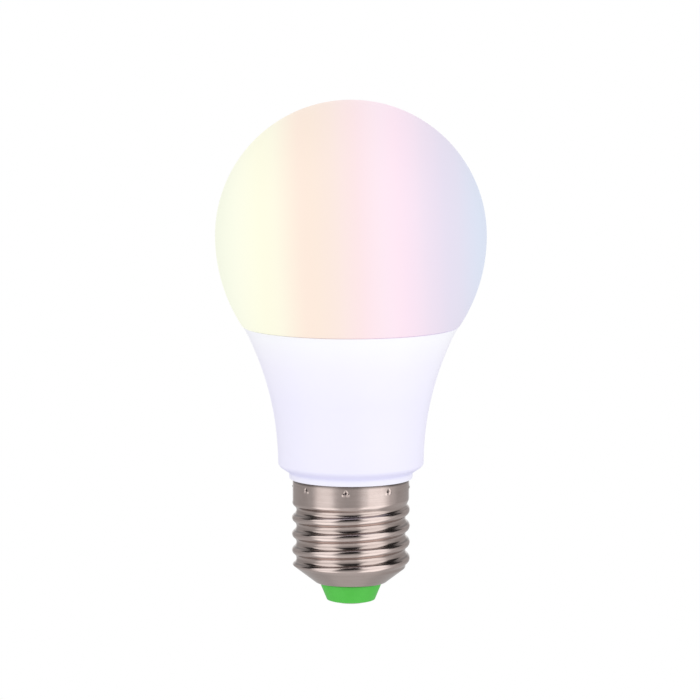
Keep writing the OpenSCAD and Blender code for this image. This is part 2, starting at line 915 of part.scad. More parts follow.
// A flat package with a row of legs on each side
module flat_package(x, z, w, h, t, legs, leg_w) {
    front = driver_front;
    block(x, front - t, front - 0.1, z - h / 2, w, h);
    for (s = [-1, 1], k = [0 : legs - 1]) {
        leg_z = z + (k - (legs - 1) / 2) * (h / legs);
        block(x + s * (w / 2 + 0.35), front - 0.25, front, leg_z - leg_w / 2, 0.9, leg_w);
        block(x + s * (w / 2 + 0.05), front - t / 2 - 0.1, front - 0.2, leg_z - leg_w / 2, 0.3, leg_w);
    }
}

module bridge_rectifier() {
    color("dimgray") flat_package(-6.4, 33.2, 3.9, 4.7, 1.6, 2, 0.7);
}

module driver_chip() {
    color("dimgray") flat_package(4.5, 38.5, 3.9, 4.9, 1.5, 4, 0.4);
}

module output_diode() {
    color("dimgray") flat_package(9.3, 45, 2.4, 3.6, 2, 1, 1.4);
}

module driver_resistors() {
    places = [
        [-9.8, 41.6], [-9.8, 44.4], OUTER_CHIP, [1.6, 43], [-3, 43], [10.4, 38], [0, 36],
        [5.4, 34], [3.4, 34], [5.5, 26], [-5.5, 26], [6, 18], [-6, 18]
    ];
    color("black")
    for (p = places)
        block(
            p[0], driver_front - chip_size[2], driver_front, p[1] - chip_size[1] / 2, chip_size[0],
            chip_size[1]
        );
}

// ---- Mains side ----

varistor_back = driver_front - lead_tail - 2 * slip_gap;

module varistor() {
    color("steelblue")
    translate([VARISTOR[0], varistor_back, VARISTOR[1]])
        rotate([90, 0, 0])
            rotate_extrude()
                polygon([
                    [0, 0], [varistor_r - 0.8, 0], [varistor_r - 0.2, 0.3], [varistor_r, 0.8],
                    [varistor_r, varistor_t - 0.8], [varistor_r - 0.2, varistor_t - 0.3],
                    [varistor_r - 0.8, varistor_t], [0, varistor_t]
                ]);
}

module varistor_leads() {
    y = varistor_back - varistor_t / 2;
    start = sqrt(varistor_r * varistor_r - pow(varistor_lead_x - lead_r, 2));
    low = VARISTOR[1] - varistor_r - varistor_lead_drop;
    turn_r = 0.8;
    color("lightgray")
    for (s = [-1, 1]) {
        x = VARISTOR[0] + s * varistor_lead_x;
        swept_wire(
            concat(
                [[x, y, VARISTOR[1] - start]],
                bend([x, y + turn_r, low + turn_r], turn_r, [0, -1, 0], [0, 0, -1], 0, 90),
                [[x, driver_back + lead_tail, low]]
            ),
            lead_r, [1, 0, 0]
        );
    }
}

module fusible_resistor() {
    color("olivedrab")
    translate([0, fuse_y, fuse_z])
        rotate_extrude()
            polygon([
                [0, 0], [fuse_r - 0.5, 0], [fuse_r, 0.5], [fuse_r, 1.8], [fuse_r - 0.2, 2.2],
                [fuse_r - 0.2, fuse_h - 2.2], [fuse_r, fuse_h - 1.8], [fuse_r, fuse_h - 0.5],
                [fuse_r - 0.5, fuse_h], [0, fuse_h]
            ]);
}

module fusible_resistor_leads() {
    top = fuse_z + fuse_h;
    high = top + fuse_lead_rise;
    bend_r = 0.7;
    color("lightgray") {
        swept_wire(
            concat(
                [[0, fuse_y, top]],
                bend([0, fuse_y + bend_r, high - bend_r], bend_r, [0, -1, 0], [0, 0, 1], 0, 90),
                [[0, driver_back + lead_tail, high]]
            ),
            lead_r, [1, 0, 0]
        );
        translate([0, fuse_y, live_top_z]) cylinder(r = lead_r, h = fuse_z - live_top_z, $fn = 24);
    }
}

// ---- Wires ----

up = [0, 0, 1];
neutral_u = [cos(neutral_turn), sin(neutral_turn), 0];
neutral_side = [-sin(neutral_turn), cos(neutral_turn), 0];
neutral_bend_r = (neutral_out_r - neutral_leg_r) / 2;
neutral_bend_z = tube_z - 0.2;
neutral_mid = (neutral_out_r + neutral_leg_r) / 2;
neutral_foot = neutral_leg_r * neutral_u + (driver_bottom - slip_gap) * up;
neutral_tip = neutral_out_r * neutral_u + (neutral_bend_z + 2.6) * up;

// From the driver board down, round the tube's lower edge and up outside it
module neutral_lead() {
    middle = neutral_mid * neutral_u + neutral_bend_z * up;
    color("black")
    swept_wire(
        concat(
            [neutral_foot], bend(middle, neutral_bend_r, neutral_u, up, -180, 0, 8), [neutral_tip]
        ),
        wire_r, neutral_side
    );
}

// Bare ends: one soldered to the driver board, one pressed between the tube and the shell
module neutral_lead_conductor() {
    pressed = neutral_press_r * neutral_u + (neutral_tip[2] + 1) * up;
    path = [neutral_tip, neutral_tip + 0.3 * up, pressed, pressed + 2.6 * up];
    color("goldenrod") {
        translate(neutral_foot) cylinder(r = wire_core_r, h = 3, $fn = 24);
        swept_wire(path, wire_core_r, neutral_side);
    }
}

LIVE_PATH = [
    [0, 0, live_bottom_z], [0, 0, 7.2], [0, -0.5, 8], [0, -1.7, 8.7], [0, -3.5, 9.3],
    [0, -5.2, 9.9], [0, -6.5, 10.7], [0, fuse_y, 11.4], [0, fuse_y, live_top_z]
];

module live_lead() {
    color("firebrick") swept_wire(LIVE_PATH, wire_r, [1, 0, 0]);
}

module live_lead_conductor() {
    color("goldenrod")
    translate([0, 0, shank_hole_z + slip_gap])
        cylinder(r = wire_core_r, h = live_bottom_z - shank_hole_z - slip_gap, $fn = 24);
}

// ---- Screw cap ----

// Radius of the knuckle thread for a direction and a height: two arcs, crest and root
function knuckle(turn, z) =
    let (
        turns = (z - crest_z) / pitch - turn / 360,
        off = (turns - round(turns)) * pitch,
        low = abs(off) > pitch / 4,
        s = low ? pitch / 2 - abs(off) : abs(off),
        drop = knuckle_r - sqrt(knuckle_r * knuckle_r - s * s)
    )
    low ? root_r + drop : crest_r - drop;

function smooth(t) = let (c = min(1, max(0, t))) c * c * (3 - 2 * c);

// The shell's outer skin: the thread, faded out above and trimmed by the cone below
function skin_r(turn, z) =
    let (
        shown = 1 - smooth((z - thread_top_z + fade_h) / fade_h),
        cone = cone_r + cone_slope * (z - shell_bottom_z)
    )
    min(cone, skirt_r + shown * (knuckle(turn, z) - skirt_r));

thread_zs = [
    for (i = [0 : thread_rows])
        shell_bottom_z + (thread_top_z - 0.1 - shell_bottom_z) * i / thread_rows
];

// Inward step of the sheet's inner side at one place on the skin
function skin_normal(turn, z) =
    let (above = z + 0.15, below = max(z - 0.15, shell_bottom_z))
    unit([-1, (skin_r(turn, above) - skin_r(turn, below)) / (above - below)]);

function on_turn(turn, r, z) = [r * cos(turn), r * sin(turn), z];

module threaded_wall() {
    thin = 0.04;
    lap_zs = [thread_top_z - 0.05, thread_top_z + lap];
    turns = [for (k = [0 : thread_sides - 1]) 360 * k / thread_sides];
    outer = concat(
        [for (a = turns) on_turn(a, shell_hole_r, shell_bottom_z)],
        [for (z = thread_zs, a = turns) on_turn(a, skin_r(a, z), z)],
        [for (z = lap_zs, a = turns) on_turn(a, skirt_r - thin, z)]
    );
    inner = concat(
        [for (a = turns) on_turn(a, shell_hole_r, shell_bottom_z + shell_wall)],
        [for (z = thread_zs, a = turns)
            let (n = shell_wall * skin_normal(a, z)) on_turn(a, skin_r(a, z) + n[0], z + n[1])],
        [for (z = lap_zs, a = turns) on_turn(a, skirt_r - shell_wall + thin, z)]
    );
    rows = 1 + len(thread_zs) + len(lap_zs);
    half = rows * thread_sides;
    skins = [
        for (i = [0 : rows - 2], k = [0 : thread_sides - 1])
            let (a = i * thread_sides + k, b = i * thread_sides + (k + 1) % thread_sides)
            each [
                [a, a + thread_sides, b + thread_sides],
                [a, b + thread_sides, b],
                [half + a, half + b + thread_sides, half + a + thread_sides],
                [half + a, half + b, half + b + thread_sides]
            ]
    ];
    top = (rows - 1) * thread_sides;
    rims = [
        for (k = [0 : thread_sides - 1])
            let (n = (k + 1) % thread_sides)
            each [
                [k, n, half + n],
                [k, half + n, half + k],
                [top + k, half + top + n, top + n],
                [top + k, half + top + k, half + top + n]
            ]
    ];
    polyhedron(points = concat(outer, inner), faces = concat(skins, rims));
}

module screw_shell() {
    color("rosybrown")
    difference() {
        union() {
            threaded_wall();
            translate([0, 0, thread_top_z]) tube(skirt_r, skirt_r - shell_wall, plain_h);
            intersection() {
                crimp_cones(shell_wall);
                translate([0, 0, thread_top_z]) cylinder(r = skirt_r - shell_wall / 2, h = plain_h);
            }
        }
        crimp_cones(0);
    }
}

// Radius of the lower cone's inner side at a height, with a clearance
function cone_wall(z) =
    cone_r + cone_slope * (z - shell_bottom_z) - (shell_wall + fit_gap) * sqrt(1 + cone_slope * cone_slope);

module base_insulator() {
    edge = 0.12;
    face_in_r = contact_d / 2 + fit_gap;
    face_out_r = insulator_tip_r - edge;
    face = [
        for (i = [0 : 5])
            [face_in_r + (face_out_r - face_in_r) * i / 5, contact_h + insulator_dome * pow(i / 5, 2)]
    ];
    throat_r = shell_hole_r - 0.3;
    lip_top = shell_bottom_z + shell_wall + fit_gap;
    flange_z = lip_top + 1.3;
    flange_r = cone_wall(flange_z);
    flange_top = flange_z + 1.5;
    color("limegreen")
    rotate_extrude()
        polygon(concat(
            [[shank_r + fit_gap, contact_h]],
            face,
            [
                [insulator_tip_r, contact_h + insulator_dome + edge],
                [shell_hole_r - 0.15, shell_bottom_z - fit_gap],
                [throat_r, shell_bottom_z - fit_gap], [throat_r, lip_top],
                [cone_wall(lip_top), lip_top], [flange_r, flange_z], [flange_r, flange_top],
                [insulator_well_r, flange_top], [insulator_well_r, insulator_floor_z],
                [shank_r + fit_gap, insulator_floor_z]
            ]
        ));
}

module centre_contact() {
    r = contact_d / 2;
    color("silver")
    difference() {
        rotate_extrude()
            polygon([
                [0, 0], [r - contact_edge, 0], [r - contact_edge * 0.55, contact_h * 0.12],
                [r - contact_edge * 0.25, contact_h * 0.4], [r - contact_edge * 0.07, contact_h * 0.75],
                [r, contact_h], [shank_r, contact_h],
                [shank_r, insulator_floor_z], [shank_r + 0.7, insulator_floor_z],
                [shank_r + 0.4, insulator_floor_z + 0.5], [shank_r, shank_top_z], [0, shank_top_z]
            ]);
        translate([0, 0, shank_hole_z]) cylinder(r = shank_hole_r, h = shank_top_z, $fn = 32);
    }
}

globe();
globe_sealant();
housing();
heat_spreader();
thermal_pad();
light_board();
light_board_screws();
white_led_packages();
white_led_phosphors();
colour_led_packages();
colour_led_windows();
light_board_resistors();
light_board_socket();
driver_pins();
driver_pin_header();
module_board();
module_antenna();
module_shield_can();
module_chip();
module_crystal();
module_pins();
module_pin_spacer();
driver_board();
bulk_capacitor();
bulk_capacitor_bung();
output_capacitor();
output_capacitor_bung();
capacitor_leads();
transformer_core();
transformer_bobbin();
transformer_winding();
transformer_tape();
transformer_pins();
choke_core();
choke_winding();
choke_leads();
bridge_rectifier();
driver_chip();
output_diode();
driver_resistors();
varistor();
varistor_leads();
fusible_resistor();
fusible_resistor_leads();
solder_joints();
neutral_lead();
neutral_lead_conductor();
live_lead();
live_lead_conductor();
screw_shell();
base_insulator();
centre_contact();
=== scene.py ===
"""Looks of the smart light bulb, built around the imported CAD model.

The frame is in metres. Outlines and paths below are in millimetres, like the CAD source, and
are scaled by MM when their meshes are made.
"""

import json
import math

import bmesh
import bpy
from mathutils import Matrix, Vector


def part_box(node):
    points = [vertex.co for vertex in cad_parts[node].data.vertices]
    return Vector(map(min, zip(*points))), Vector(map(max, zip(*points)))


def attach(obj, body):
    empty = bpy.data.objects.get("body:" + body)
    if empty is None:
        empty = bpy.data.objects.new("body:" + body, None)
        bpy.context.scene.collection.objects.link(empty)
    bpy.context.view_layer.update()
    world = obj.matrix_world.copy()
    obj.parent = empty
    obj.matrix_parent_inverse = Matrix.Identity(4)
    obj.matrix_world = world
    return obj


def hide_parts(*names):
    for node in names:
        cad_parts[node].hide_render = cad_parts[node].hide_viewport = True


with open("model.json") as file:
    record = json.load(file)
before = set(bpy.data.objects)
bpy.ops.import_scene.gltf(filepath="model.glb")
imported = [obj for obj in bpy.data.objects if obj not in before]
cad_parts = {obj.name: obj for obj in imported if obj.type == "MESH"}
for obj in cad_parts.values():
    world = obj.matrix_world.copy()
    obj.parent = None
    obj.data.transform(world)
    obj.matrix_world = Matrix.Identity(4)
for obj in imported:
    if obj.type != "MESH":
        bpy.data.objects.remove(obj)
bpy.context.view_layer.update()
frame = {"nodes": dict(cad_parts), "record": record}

MM = 0.001
NODES = frame["nodes"]

SHELL_BOTTOM_Z, SHELL_TOP_Z = (corner.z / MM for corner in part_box("screw_shell"))
CREST_R = 13.1
ROOT_R = 12.13
SKIRT_R = 12.95          # plain part above the thread


# ---------------------------------------------------------------- materials

def srgb(r, g, b):
    """Linear colour from sRGB numbers of 0 to 255."""
    def linear(v):
        v /= 255
        return v / 12.92 if v <= 0.04045 else ((v + 0.055) / 1.055) ** 2.4
    return (linear(r), linear(g), linear(b), 1.0)


NOISE_ROUGHNESS = 0.55   # weight of a noise's finer layers


class Nodes:
    """A material's node tree, with short calls that add and link nodes."""

    def __init__(self, name, colour, roughness, metallic=0.0):
        self.material = bpy.data.materials.new(name)
        self.material.use_nodes = True
        self.tree = self.material.node_tree
        self.shader = self.tree.nodes["Principled BSDF"]
        self.set(self.shader, Roughness=roughness, Metallic=metallic)
        self.shader.inputs["Base Color"].default_value = colour
        self.coords = self.tree.nodes.new("ShaderNodeTexCoord")

    def set(self, node, **values):
        """Sets a node's own sockets. A space in a socket's name is written as _."""
        for key, value in values.items():
            node.inputs[key.replace("_", " ")].default_value = value

    def link(self, source, target):
        self.tree.links.new(source, target)

    def add(self, kind, **settings):
        node = self.tree.nodes.new("ShaderNode" + kind)
        for key, value in settings.items():
            setattr(node, key, value)
        return node

    def math(self, operation, *operands):
        node = self.add("Math", operation=operation)
        for socket, value in zip(node.inputs, operands):
            if isinstance(value, (int, float)):
                socket.default_value = value
            else:
                self.link(value, socket)
        return node.outputs[0]

    def axis(self, name):
        """An object coordinate, in millimetres."""
        split = self.add("SeparateXYZ")
        self.link(self.coords.outputs["Object"], split.inputs[0])
        return self.math("MULTIPLY", split.outputs[name], 1 / MM)

    def noise(self, size_mm, detail=3.0, stretch=(1, 1, 1)):
        """Noise whose features are about size_mm across, times the stretch along each axis."""
        mapping = self.add("Mapping")
        mapping.inputs["Scale"].default_value = [1 / (s * size_mm * MM) for s in stretch]
        self.link(self.coords.outputs["Object"], mapping.inputs["Vector"])
        node = self.add("TexNoise")
        self.set(node, Scale=1.0, Detail=detail, Roughness=NOISE_ROUGHNESS)
        self.link(mapping.outputs[0], node.inputs["Vector"])
        return node.outputs["Fac"]

    def ramp(self, fac, stops, interpolation="LINEAR"):
        """Colours along fac, from stops of (place from 0 to 1, colour)."""
        node = self.add("ValToRGB")
        ramp = node.color_ramp
        ramp.interpolation = interpolation
        while len(ramp.elements) < len(stops):
            ramp.elements.new(0.5)
        for element, (place, colour) in zip(ramp.elements, stops):
            element.position = place
            element.color = colour
        self.link(fac, node.inputs[0])
        return node.outputs[0]

    def between(self, fac, low, high, to_low=0.0, to_high=1.0, smooth=False):
        """Maps low to high onto to_low to to_high, and holds still outside."""
        node = self.add("MapRange", interpolation_type="SMOOTHSTEP" if smooth else "LINEAR")
        self.link(fac, node.inputs["Value"])
        self.set(node, From_Min=low, From_Max=high, To_Min=to_low, To_Max=to_high)
        return node.outputs[0]

    def bands(self, place, stops, span, interpolation="LINEAR"):
        """Colours by place in millimetres, from stops of (place, colour) within a span."""
        low, high = span
        even = [((at - low) / (high - low), colour) for at, colour in stops]
        return self.ramp(self.between(place, low, high), even, interpolation)

    def mix(self, fac, a, b, blend="MIX"):
        node = self.add("Mix", data_type="RGBA", blend_type=blend)
        for socket, value in ((node.inputs[0], fac), (node.inputs[6], a), (node.inputs[7], b)):
            if isinstance(value, bpy.types.NodeSocket):
                self.link(value, socket)
            else:
                socket.default_value = value
        return node.outputs[2]

    def bump(self, height, distance_mm, strength=1.0):
        node = self.add("Bump")
        self.set(node, Strength=strength, Distance=distance_mm * MM)
        self.link(height, node.inputs["Height"])
        self.link(node.outputs[0], self.shader.inputs["Normal"])

    def colour(self, socket):
        self.link(socket, self.shader.inputs["Base Color"])

    def roughness(self, socket):
        self.link(socket, self.shader.inputs["Roughness"])


def scaled(colour, k):
    """A colour made k times as bright."""
    return tuple(min(1.0, c * k) for c in colour[:3]) + (1.0,)


def moulded(name, colour, roughness, metallic=0.0, variation=0.08, grain_mm=0.4, bump_mm=0.004):
    """A moulded, dipped, cast or plated surface: mottled colour, uneven gloss and fine grain."""
    m = Nodes(name, colour, roughness, metallic)
    broad = m.noise(grain_mm * 8, detail=4)
    fine = m.noise(grain_mm, detail=2)
    m.colour(m.mix(broad, scaled(colour, 1 - variation), scaled(colour, 1 + variation)))
    m.roughness(m.between(broad, 0.2, 0.8, roughness * 0.85, min(1.0, roughness * 1.15)))
    m.bump(fine, bump_mm, 0.6)
    return m.material


# Painted light across the globe from the coloured sources inside, left side to right: (X in mm,
# colour)
GLOBE_LIGHT_BANDS = [
    (-29, srgb(250, 253, 234)), (-24.5, srgb(254, 255, 235)), (-20, srgb(255, 254, 231)),
    (-15.7, srgb(254, 249, 229)), (-11.3, srgb(254, 237, 222)), (-6.9, srgb(253, 235, 222)),
    (-2.4, srgb(253, 234, 228)), (2, srgb(254, 232, 235)), (6.4, srgb(254, 234, 243)),
    (10.8, srgb(253, 231, 244)), (15.3, srgb(244, 228, 243)), (19.7, srgb(234, 225, 242)),
    (24.1, srgb(228, 226, 243)), (28.5, srgb(222, 230, 247)),
]
GLOBE_GLOW = 0.3
BANDS_LEAN = 1.2         # the bands lean this far to either side over the globe's height
BANDS_Z = (60, 112)


def opal_material():
    """Opal plastic lit from inside by sources of different colours."""
    m = Nodes("opal", srgb(254, 235, 230), 0.5)
    lean = m.between(m.axis("Z"), *BANDS_Z, BANDS_LEAN, -BANDS_LEAN)
    place = m.math("SUBTRACT", m.axis("X"), lean)
    span = (GLOBE_LIGHT_BANDS[0][0], GLOBE_LIGHT_BANDS[-1][0])
    bands = m.bands(place, GLOBE_LIGHT_BANDS, span, "CARDINAL")
    # Painted light: the base colour carries the same bands of the inner sources' light as the glow
    m.colour(m.mix(1.0, bands, (1 - GLOBE_GLOW,) * 3 + (1,), "MULTIPLY"))
    m.link(bands, m.shader.inputs["Emission Color"])
    m.set(m.shader, Emission_Strength=GLOBE_GLOW, IOR=1.45, Specular_IOR_Level=0.25)
    m.bump(m.noise(0.35, detail=3), 0.006, 0.5)
    return m.material


# Colours up the housing: (Z in mm, colour). The darker ones are painted shade in the hollow above
# the collar, and the whitest at the top are painted light from the globe.
HOUSING_LIGHT_AND_SHADE_BANDS = [
    (27.9, srgb(249, 248, 255)), (28.9, srgb(248, 247, 255)), (29.6, srgb(230, 229, 251)),
    (30.2, srgb(231, 230, 252)), (31.4, srgb(245, 243, 255)), (36, srgb(246, 244, 255)),
    (46, srgb(246, 244, 255)), (54, srgb(250, 248, 255)), (58, srgb(253, 252, 255)),
    (60.5, srgb(255, 255, 255)),
]
HOUSING_SPAN = (27, 62)
HOUSING_PAINTED_GLOW = 0.05
SHADED_SIDE_X = (-16, 4)    # painted shade: the housing is a little darker towards -X
SHADED_SIDE = 0.965


def housing_material():
    """White plastic, faintly lavender, with painted light from the globe near the seam, painted
    shade above the collar and towards -X, and a painted blue glow.
    """
    m = Nodes("white_plastic", srgb(247, 245, 255), 0.42)
    # Painted light near the seam and painted shade in the hollow above the collar
    shade = m.bands(m.axis("Z"), HOUSING_LIGHT_AND_SHADE_BANDS, HOUSING_SPAN)
    # Painted shade towards -X
    side = m.between(m.axis("X"), *SHADED_SIDE_X, SHADED_SIDE, 1.0, smooth=True)
    mottled = m.between(m.noise(6, detail=3), 0.3, 0.7, 0.992, 1.0)
    m.colour(m.mix(1.0, shade, m.math("MULTIPLY", side, mottled), "MULTIPLY"))
    m.roughness(m.between(m.noise(2.5, detail=4), 0.25, 0.75, 0.36, 0.48))
    m.bump(m.noise(0.3, detail=3), 0.004, 0.5)
    # Painted light: a faint blue glow that lifts the plastic's blue
    m.set(m.shader, Emission_Color=(0.0, 0.0, 1.0, 1.0), Emission_Strength=HOUSING_PAINTED_GLOW)
    m.set(m.shader, Specular_IOR_Level=0.35)
    return m.material


ROOT_SHADE_R = (12.1, 13.0)       # radii over which the painted shade in the roots fades out
FLANK_FACING = (0.6, 0.78)       # upward part of the normal over which painted shade comes in on a flank
COLLAR_SHADE_DROP = (0.75, 0.2)  # below the shell's top edge: where shade starts, and is full
PIT_SHADE_DEPTH = (0.19, 0.02)   # below the skirt's surface: where shade is full, and ends
PIT_SHADE_DROP = (2.6, 2.3)      # below the top edge: there are no pits lower than this


def nickel_material():
    """Nickel plate on drawn and rolled sheet: marks along the turns, fine specks, and painted shade
    in the roots, on upward-facing flanks, under the collar and in the crimps."""
    m = Nodes("nickel", srgb(214, 198, 193), 0.2, 1.0)
    x, y = m.axis("X"), m.axis("Y")
    radius = m.math("SQRT", m.math("ADD", m.math("MULTIPLY", x, x), m.math("MULTIPLY", y, y)))
    drawn = m.noise(0.22, detail=5, stretch=(40, 40, 1))
    blotch = m.noise(2.2, detail=5)
    specks = m.between(m.noise(0.16, detail=2), 0.66, 0.74)
    tone = m.mix(blotch, srgb(208, 190, 184), srgb(222, 208, 203))
    tone = m.mix(m.between(drawn, 0.3, 0.7, 0.0, 0.35), tone, srgb(188, 172, 166))
    # Painted shade in the thread's roots
    tone = m.mix(m.between(radius, *ROOT_SHADE_R, 0.3, 0.0), tone, srgb(150, 134, 126))
    tone = m.mix(m.math("MULTIPLY", specks, 0.25), tone, srgb(120, 104, 98))
    facing = m.add("SeparateXYZ")
    m.link(m.add("NewGeometry").outputs["Normal"], facing.inputs[0])
    # Painted shade on flanks that face up
    flank_shade = m.between(facing.outputs["Z"], *FLANK_FACING, smooth=True)
    tone = m.mix(m.math("MULTIPLY", flank_shade, 0.6), tone, srgb(80, 79, 80))
    height = m.axis("Z")
    top = m.between(height, *(SHELL_TOP_Z - drop for drop in COLLAR_SHADE_DROP), smooth=True)
    tone = m.mix(m.math("MULTIPLY", top, 0.75), tone, srgb(70, 62, 62))
    pit = m.between(radius, *(SKIRT_R - depth for depth in PIT_SHADE_DEPTH), 0.9, 0.0)
    above_thread = m.between(height, *(SHELL_TOP_Z - drop for drop in PIT_SHADE_DROP))
    tone = m.mix(m.math("MULTIPLY", pit, above_thread), tone, srgb(50, 38, 36))
    m.colour(tone)
    worn = m.between(blotch, 0.2, 0.8, 0.09, 0.17)
    worn = m.math("ADD", worn, m.math("MULTIPLY", specks, 0.15))
    m.roughness(m.math("ADD", worn, m.between(drawn, 0.3, 0.7, 0.0, 0.05)))
    m.bump(m.math("ADD", drawn, m.math("MULTIPLY", specks, -0.5)), 0.006, 0.35)
    return m.material


LIP_SHADE_DROP = (0.34, 0.08)    # below the shell's lower edge: where shade starts, and is full


def insulator_material():
    """Green moulded plastic, shaded under the shell's lip."""
    m = Nodes("green_insulator", srgb(80, 192, 70), 0.38)
    green = m.mix(m.noise(1.6, detail=4), srgb(76, 190, 66), srgb(86, 198, 76))
    shade_z = [SHELL_BOTTOM_Z - drop for drop in LIP_SHADE_DROP]
    under_lip = m.between(m.axis("Z"), *shade_z, 0.0, 0.7)
    m.colour(m.mix(under_lip, green, srgb(30, 92, 40)))
    m.set(m.shader, Specular_IOR_Level=0.3)
    m.roughness(m.between(m.noise(1.1, detail=4), 0.25, 0.75, 0.32, 0.46))
    m.bump(m.noise(0.25, detail=3), 0.005, 0.5)
    return m.material


def board_material(name, mask, trace):
    """Solder mask over copper: lighter where tracks run under it, with fine weave."""
    m = Nodes(name, mask, 0.35)
    tracks = m.add("TexBrick", offset=0.37, offset_frequency=3, squash=1.6, squash_frequency=2)
    m.set(tracks, Scale=420.0, Bias=0.0, Brick_Width=0.9, Row_Height=0.6)
    m.set(tracks, Mortar_Size=0.035, Mortar_Smooth=0.2)
    m.link(m.coords.outputs["Object"], tracks.inputs["Vector"])
    weave = m.noise(0.5, detail=2, stretch=(1, 1, 0.2))
    base = m.mix(weave, scaled(mask, 0.9), scaled(mask, 1.1))
    m.colour(m.mix(tracks.outputs["Fac"], base, trace))
    m.bump(tracks.outputs["Fac"], 0.03, 0.7)
    return m.material


def wound_material():
    """Enamelled copper wire, wound close."""
    m = Nodes("enamelled_wire", srgb(170, 88, 40), 0.3, 0.85)
    m.colour(m.mix(m.noise(0.8, detail=3), srgb(150, 72, 30), srgb(196, 108, 54)))
    m.bump(m.noise(0.3, detail=2, stretch=(1, 1, 0.3)), 0.02, 0.8)
    return m.material


def brushed_material(name, colour, roughness, stretch):
    """Bare metal with fine lines along the axis that the stretch lengthens."""
    m = Nodes(name, colour, roughness, 1.0)
    lines = m.noise(0.12, detail=4, stretch=stretch)
    m.colour(m.mix(lines, scaled(colour, 0.88), scaled(colour, 1.08)))
    m.roughness(m.between(lines, 0.25, 0.75, roughness * 0.8, roughness * 1.25))
    m.bump(lines, 0.004, 0.4)
    return m.material


def slot_materials():
    """One material for each material slot of the record."""
    return {
        "opal_cover": opal_material(),
        "sealant": moulded("sealant", srgb(236, 236, 236), 0.4),
        "white_housing": housing_material(),
        "spun_aluminium": brushed_material(
            "spun_aluminium", srgb(205, 206, 208), 0.32, (20, 20, 1)
        ),
        "thermal_pad": moulded("thermal_pad", srgb(150, 165, 182), 0.75, bump_mm=0.03),
        "white_board": board_material("white_board", srgb(240, 240, 238), srgb(226, 226, 222)),
        "zinc_steel": brushed_material("zinc_steel", srgb(196, 198, 200), 0.3, (1, 1, 6)),
        "led_body": moulded("led_body", srgb(244, 241, 230), 0.35, variation=0.03),
        "phosphor": moulded(
            "phosphor", srgb(236, 196, 60), 0.45, grain_mm=0.08, bump_mm=0.01
        ),
        "led_window": moulded("led_window", srgb(214, 226, 218), 0.12, grain_mm=0.2),
        "chip_ceramic": moulded("chip_ceramic", srgb(34, 34, 36), 0.28),
        "socket_plastic": moulded("socket_plastic", srgb(232, 226, 205), 0.4),
        "gold_plate": brushed_material("gold_plate", srgb(226, 184, 96), 0.22, (1, 1, 8)),
        "black_plastic": moulded("black_plastic", srgb(24, 24, 25), 0.5),
        "module_board": board_material("module_board", srgb(22, 38, 84), srgb(44, 66, 120)),
        "tin_plate": brushed_material("tin_plate", srgb(196, 196, 192), 0.3, (12, 1, 1)),
        "chip_resin": moulded("chip_resin", srgb(36, 36, 38), 0.55, grain_mm=0.1, bump_mm=0.012),
        "green_board": board_material("green_board", srgb(20, 92, 46), srgb(46, 132, 74)),
        "capacitor_sleeve": moulded("capacitor_sleeve", srgb(26, 34, 66), 0.25),
        "bung_rubber": moulded("bung_rubber", srgb(26, 26, 26), 0.7),
        "tinned_wire": brushed_material("tinned_wire", srgb(200, 198, 194), 0.25, (1, 20, 1)),
        "ferrite": moulded("ferrite", srgb(52, 52, 55), 0.5, grain_mm=0.15, bump_mm=0.02),
        "bobbin_plastic": moulded("bobbin_plastic", srgb(52, 34, 24), 0.4),
        "enamelled_copper": wound_material(),
        "yellow_tape": moulded("yellow_tape", srgb(238, 200, 52), 0.2, grain_mm=0.6),
        "varistor_coating": moulded("varistor_coating", srgb(36, 82, 150), 0.22, bump_mm=0.015),
        "resistor_coating": moulded("resistor_coating", srgb(120, 150, 106), 0.4, bump_mm=0.015),
        "solder": moulded("solder", srgb(196, 198, 202), 0.22, 1.0, bump_mm=0.02),
        "black_insulation": moulded("black_insulation", srgb(20, 20, 20), 0.4),
        "red_insulation": moulded("red_insulation", srgb(178, 26, 22), 0.38),
        "bare_copper": brushed_material("bare_copper", srgb(206, 132, 88), 0.28, (1, 1, 10)),
        "nickel_shell": nickel_material(),
        "green_insulator": insulator_material(),
        "contact_metal": brushed_material("contact_metal", srgb(222, 216, 208), 0.2, (25, 1, 1)),
    }


MATERIALS = slot_materials()
SLOT_OF = {part["node"]: part["material_slot"] for part in frame["record"]["subparts"]}

for node_name, node_object in NODES.items():
    node_object.data.materials.clear()
    node_object.data.materials.append(MATERIALS[SLOT_OF[node_name]])


# ---------------------------------------------------------------- mesh helpers

def finish_piece(mesh, name, node, smooth_angle=35):
    """Turns a mesh in millimetres into a piece that rides on the root and stands for a node."""
    mesh.transform(Matrix.Scale(MM, 4))
    piece = bpy.data.objects.new(name, mesh)
    bpy.context.scene.collection.objects.link(piece)
    mesh.materials.append(MATERIALS[SLOT_OF[node]])
    mesh.shade_smooth()
    mesh.set_sharp_from_angle(angle=math.radians(smooth_angle))
    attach(piece, "root")
    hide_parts(node)


def ring_mesh(name, rings):
    """A closed surface through rings of points. Each ring joins the next, and the last the first.
    A ring of one point is a pole."""
    sides = max(len(ring) for ring in rings)
    points, rows, faces = [], [], []
    for ring in rings:
        rows.append([len(points) + k % len(ring) for k in range(sides)])
        points += ring
    for row, after in zip(rows, rows[1:] + rows[:1]):
        for k in range(sides):
            n = (k + 1) % sides
            face = tuple(dict.fromkeys((row[k], row[n], after[n], after[k])))
            if len(face) > 2:
                faces.append(face)
    mesh = bpy.data.meshes.new(name)
    mesh.from_pydata(points, [], faces)
    bm = bmesh.new()
    bm.from_mesh(mesh)
    bmesh.ops.recalc_face_normals(bm, faces=bm.faces)
    bm.to_mesh(mesh)
    bm.free()
    return mesh


LATHE_SIDES = 256
ROUNDING_STEPS = 6


